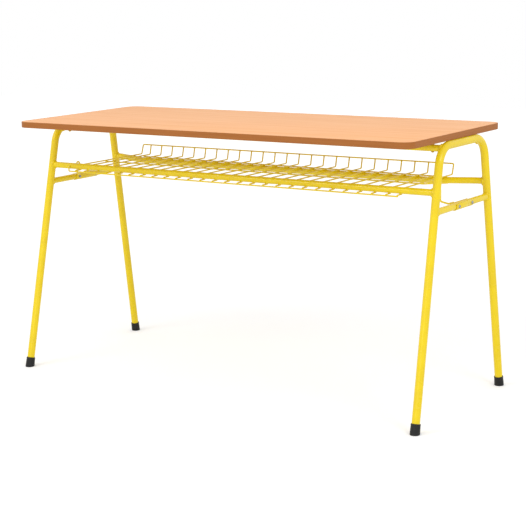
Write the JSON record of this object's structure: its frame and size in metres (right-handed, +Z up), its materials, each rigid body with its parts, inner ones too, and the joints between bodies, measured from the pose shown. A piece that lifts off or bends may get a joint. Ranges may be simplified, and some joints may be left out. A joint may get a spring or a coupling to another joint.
{
  "type": "school desk",
  "caption": "Two-seat school desk: laminated top on a bent tube frame, with a welded wire book basket and bag hooks.",
  "frame": {"origin": "on the floor, under the middle of the desk top", "axes": "+X to the right along the front edge, +Y to the back edge with the basket's back wall, +Z up"},
  "size_m": [1.3462, 0.55, 0.75],
  "materials": {
    "beech_laminate": "light beech pattern, satin",
    "backing_laminate": "matt",
    "chipboard": "raw board",
    "brown_edge_band": "satin",
    "yellow_paint": "gloss powder coat",
    "black_plastic": "satin",
    "zinc_plated_steel": "bright zinc"
  },
  "bodies": {
    "root": {"back_rail": "yellow_paint", "backing_laminate": "backing_laminate", "bag_hook_left": "yellow_paint", "bag_hook_right": "yellow_paint", "basket_back": "yellow_paint", "basket_end_wire_left": "yellow_paint", "basket_end_wire_right": "yellow_paint", "basket_floor": "yellow_paint", "basket_front_wire": "yellow_paint", "basket_middle_wire": "yellow_paint", "board_core": "chipboard", "clamp_bolt_left_back": "zinc_plated_steel", "clamp_bolt_left_front": "zinc_plated_steel", "clamp_bolt_right_back": "zinc_plated_steel", "clamp_bolt_right_front": "zinc_plated_steel", "clamp_nut_left_back": "zinc_plated_steel", "clamp_nut_left_front": "zinc_plated_steel", "clamp_nut_right_back": "zinc_plated_steel", "clamp_nut_right_front": "zinc_plated_steel", "crossbar_left": "yellow_paint", "crossbar_right": "yellow_paint", "edge_band": "brown_edge_band", "foot_cap_left_back": "black_plastic", "foot_cap_left_front": "black_plastic", "foot_cap_right_back": "black_plastic", "foot_cap_right_front": "black_plastic", "front_rail": "yellow_paint", "hook_clamp_left": "yellow_paint", "hook_clamp_right": "yellow_paint", "side_frame_left": "yellow_paint", "side_frame_right": "yellow_paint", "spacer_left_back": "zinc_plated_steel", "spacer_left_front": "zinc_plated_steel", "spacer_right_back": "zinc_plated_steel", "spacer_right_front": "zinc_plated_steel", "top_laminate": "beech_laminate", "top_screw_left_back": "zinc_plated_steel", "top_screw_left_front": "zinc_plated_steel", "top_screw_right_back": "zinc_plated_steel", "top_screw_right_front": "zinc_plated_steel", "upper_rail_back": "yellow_paint", "upper_rail_front": "yellow_paint"}
  },
  "joints": []
}
